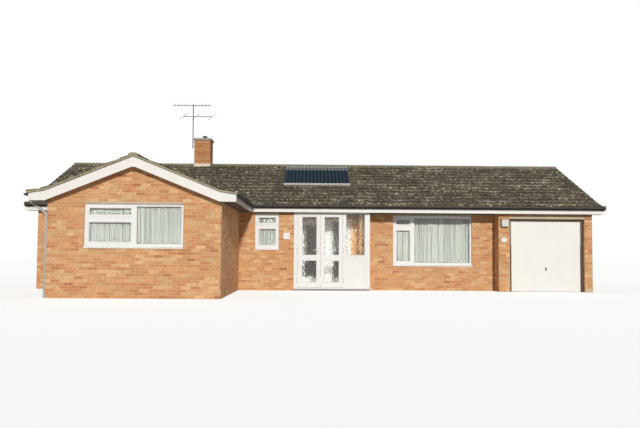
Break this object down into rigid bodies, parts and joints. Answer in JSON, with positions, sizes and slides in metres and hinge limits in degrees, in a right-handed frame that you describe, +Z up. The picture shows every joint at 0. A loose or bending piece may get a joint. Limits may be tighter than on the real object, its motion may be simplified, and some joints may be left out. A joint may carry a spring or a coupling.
{
  "type": "brick bungalow",
  "caption": "Brick bungalow with a tiled gable roof, a front wing, a glazed porch and a garage with an up-and-over door.",
  "frame": {"origin": "on the ground, below the middle of the main ridge", "axes": "+X to the right along the front, +Y back into the house, +Z up"},
  "size_m": [17.34, 13.4373, 6.503],
  "materials": {
    "black_gutter": "satin",
    "brown_timber": "satin",
    "clay_pot": "matte",
    "clear_glass": "gloss",
    "concrete": "rough",
    "facing_brick": "rough",
    "galvanised_steel": "satin",
    "grey_pipe": "satin",
    "lamp_black": "satin",
    "lead": "matte",
    "net_curtain": "sheer",
    "obscured_glass": "patterned",
    "pale_lintel": "matte",
    "roof_tile": "rough",
    "roof_timber": "rough",
    "solar_metal": "satin",
    "solar_tube": "gloss",
    "white_board": "satin",
    "white_frame": "satin",
    "white_plaque": "gloss",
    "white_steel": "satin"
  },
  "bodies": {
    "house": {"aerial_mast": "galvanised_steel", "back_door": "white_frame", "barge_boards": "white_board", "chimney_cap": "concrete", "chimney_pot": "clay_pot", "chimney_stack": "facing_brick", "door_head_walls": "facing_brick", "door_hinges": "galvanised_steel", "downpipes": "grey_pipe", "entrance_door_frame": "white_frame", "entrance_walls": "facing_brick", "front_walls": "facing_brick", "front_window_frames": "white_frame", "garage_floor": "concrete", "garage_frame": "brown_timber", "garage_lintel": "pale_lintel", "garage_piers": "facing_brick", "garage_pivots": "galvanised_steel", "house_floor": "concrete", "lead_flashings": "lead", "main_fascias": "white_board", "main_gutters": "black_gutter", "main_roof_deck": "roof_timber", "main_roof_tiles": "roof_tile", "meter_box": "white_frame", "net_curtains": "net_curtain", "number_plaque": "white_plaque", "porch_fixed_glass": "obscured_glass", "porch_side_frames": "white_frame", "porch_side_light": "white_frame", "porch_side_walls": "facing_brick", "porch_sill": "white_frame", "porch_step": "concrete", "rear_wall": "facing_brick", "rear_window_frames": "white_frame", "ridge_tiles": "roof_tile", "roof_aerials": "galvanised_steel", "side_walls": "facing_brick", "soffits": "white_board", "solar_frames": "solar_metal", "solar_tubes": "solar_tube", "wall_lamp": "lamp_black", "window_glass": "clear_glass", "window_lintels": "pale_lintel", "window_sills": "white_frame", "wing_fascias": "white_board", "wing_gutters": "black_gutter", "wing_roof_deck": "roof_timber", "wing_roof_tiles": "roof_tile"},
    "garage_arms": {"garage_arms": "galvanised_steel"},
    "garage_door": {"garage_door": "white_steel", "garage_door_pins": "galvanised_steel"},
    "garage_handle": {"garage_handle": "galvanised_steel"},
    "porch_left_leaf": {"porch_left_leaf": "white_frame", "porch_left_leaf_glass": "obscured_glass"},
    "porch_right_leaf": {"porch_right_leaf": "white_frame", "porch_right_leaf_glass": "obscured_glass"},
    "porch_lever": {"porch_lever": "galvanised_steel"},
    "entrance_door": {"entrance_door": "white_frame", "entrance_door_glass": "clear_glass"}
  },
  "joints": [
    {"name": "garage_arm_swing", "type": "hinge", "parent": "house", "child": "garage_arms", "pos_m": [6.97, -4.122, 2.12], "axis": [1, 0, 0], "range_deg": [0, 85]},
    {"name": "garage_door_tilt", "type": "hinge", "parent": "garage_arms", "child": "garage_door", "pos_m": [6.97, -4.122, 1.41733], "axis": [1, 0, 0], "range_deg": [-170, 0]},
    {"name": "garage_handle_turn", "type": "hinge", "parent": "garage_door", "child": "garage_handle", "pos_m": [6.97, -4.13, 0.693], "axis": [0, -1, 0], "range_deg": [0, 90]},
    {"name": "porch_left_leaf_swing", "type": "hinge", "parent": "house", "child": "porch_left_leaf", "pos_m": [-0.551, -4.318, 0.106], "axis": [0, 0, -1], "range_deg": [0, 90]},
    {"name": "porch_right_leaf_swing", "type": "hinge", "parent": "house", "child": "porch_right_leaf", "pos_m": [0.807, -4.318, 0.106], "axis": [0, 0, 1], "range_deg": [0, 90]},
    {"name": "porch_lever_turn", "type": "hinge", "parent": "porch_left_leaf", "child": "porch_lever", "pos_m": [0.08, -4.31, 1.23], "axis": [0, -1, 0], "range_deg": [0, 40]},
    {"name": "entrance_door_swing", "type": "hinge", "parent": "house", "child": "entrance_door", "pos_m": [0.347, -3.142, 0.156], "axis": [0, 0, -1], "range_deg": [0, 90]}
  ],
  "couplings": [
    {"joint": "garage_door_tilt", "follows": "garage_arm_swing", "ratio": -2}
  ]
}
